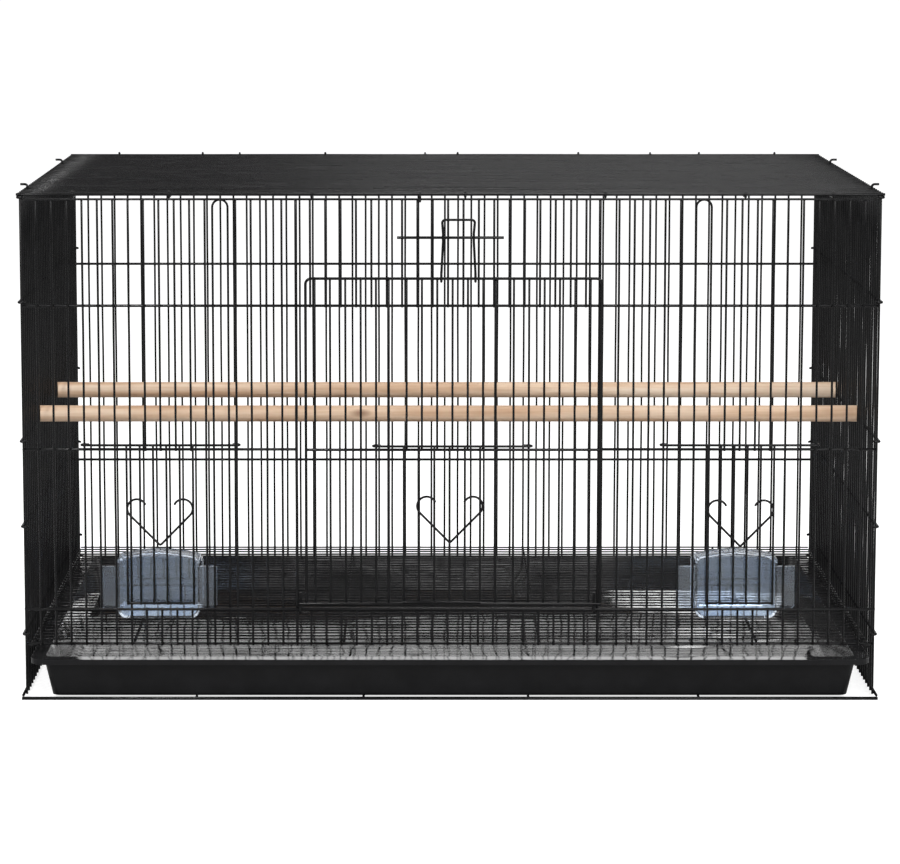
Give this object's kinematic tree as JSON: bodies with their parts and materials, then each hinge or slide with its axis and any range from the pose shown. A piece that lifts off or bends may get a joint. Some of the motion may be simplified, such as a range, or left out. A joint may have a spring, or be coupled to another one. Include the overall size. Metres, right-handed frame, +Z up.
{
  "type": "flight bird cage",
  "caption": "Long low flight cage of black welded wire with a drop-down front door, sliding feeder doors, clear cups, wooden perches, a floor grate and a pull-out tray.",
  "frame": {"origin": "bottom centre of the whole cage, on the table that it stands on", "axes": "+X along the long side to the right as seen from the front, +Y to the back, +Z up"},
  "size_m": [0.7688, 0.489, 0.4566],
  "materials": {
    "black_wire": "satin black powder coat on welded steel wire",
    "perch_wood": "bare pale pine dowel with light knots",
    "tray_plastic": "glossy black formed sheet",
    "clear_plastic": "clear moulded plastic with a faint blue tint"
  },
  "bodies": {
    "cage": {"front_uprights": "black_wire", "front_door_jambs": "black_wire", "front_inner_rails": "black_wire", "front_top_rail": "black_wire", "door_hinge_rail": "black_wire", "latch_bridge_wire": "black_wire", "front_hairpins": "black_wire", "back_uprights": "black_wire", "back_inner_rails": "black_wire", "back_top_rail": "black_wire", "left_uprights": "black_wire", "left_rails": "black_wire", "right_uprights": "black_wire", "right_rails": "black_wire", "roof_long_wires": "black_wire", "roof_cross_wires": "black_wire", "roof_side_hooks": "black_wire", "roof_front_clip": "black_wire", "roof_back_rings": "black_wire", "base_sills": "black_wire", "base_side_wires": "black_wire", "base_cross_wires": "black_wire", "grate_runners": "black_wire", "front_perch": "perch_wood", "rear_perch": "perch_wood"},
    "main_door": {"main_door_frame": "black_wire", "main_door_hooks": "black_wire", "main_door_rails": "black_wire", "main_door_wires": "black_wire", "main_door_jambs": "black_wire"},
    "latch": {"door_latch": "black_wire"},
    "centre_door": {"centre_door_bars": "black_wire", "centre_door_wires": "black_wire", "centre_heart_pull": "black_wire"},
    "left_feeder_door": {"left_feeder_door_bars": "black_wire", "left_feeder_door_wires": "black_wire", "left_heart_pull": "black_wire"},
    "right_feeder_door": {"right_feeder_door_bars": "black_wire", "right_feeder_door_wires": "black_wire", "right_heart_pull": "black_wire"},
    "floor_grate": {"grate_long_wires": "black_wire", "grate_cross_wires": "black_wire"},
    "litter_tray": {"tray": "tray_plastic"},
    "left_cup": {"left_feeder_cup": "clear_plastic"},
    "right_cup": {"right_feeder_cup": "clear_plastic"}
  },
  "joints": [
    {"name": "main_door_hinge", "type": "hinge", "parent": "cage", "child": "main_door", "pos_m": [0.002, -0.22273, 0.0807], "axis": [1, 0, 0], "range_deg": [0, 90]},
    {"name": "latch_swing", "type": "hinge", "parent": "main_door", "child": "latch", "pos_m": [0.007, -0.22553, 0.3775], "axis": [1, 0, 0], "range_deg": [0, 150]},
    {"name": "centre_door_slide", "type": "slide", "parent": "main_door", "child": "centre_door", "axis": [0, 0, 1], "range_m": [0, 0.12]},
    {"name": "left_feeder_door_slide", "type": "slide", "parent": "cage", "child": "left_feeder_door", "axis": [0, 0, 1], "range_m": [0, 0.12]},
    {"name": "right_feeder_door_slide", "type": "slide", "parent": "cage", "child": "right_feeder_door", "axis": [0, 0, 1], "range_m": [0, 0.12]},
    {"name": "grate_slide", "type": "slide", "parent": "cage", "child": "floor_grate", "axis": [0, -1, 0], "range_m": [0, 0.4]},
    {"name": "tray_slide", "type": "slide", "parent": "cage", "child": "litter_tray", "axis": [0, -1, 0], "range_m": [0, 0.4]},
    {"name": "left_cup_lift", "type": "slide", "parent": "cage", "child": "left_cup", "axis": [0, 0, 1], "range_m": [0, 0.03]},
    {"name": "right_cup_lift", "type": "slide", "parent": "cage", "child": "right_cup", "axis": [0, 0, 1], "range_m": [0, 0.03]}
  ]
}
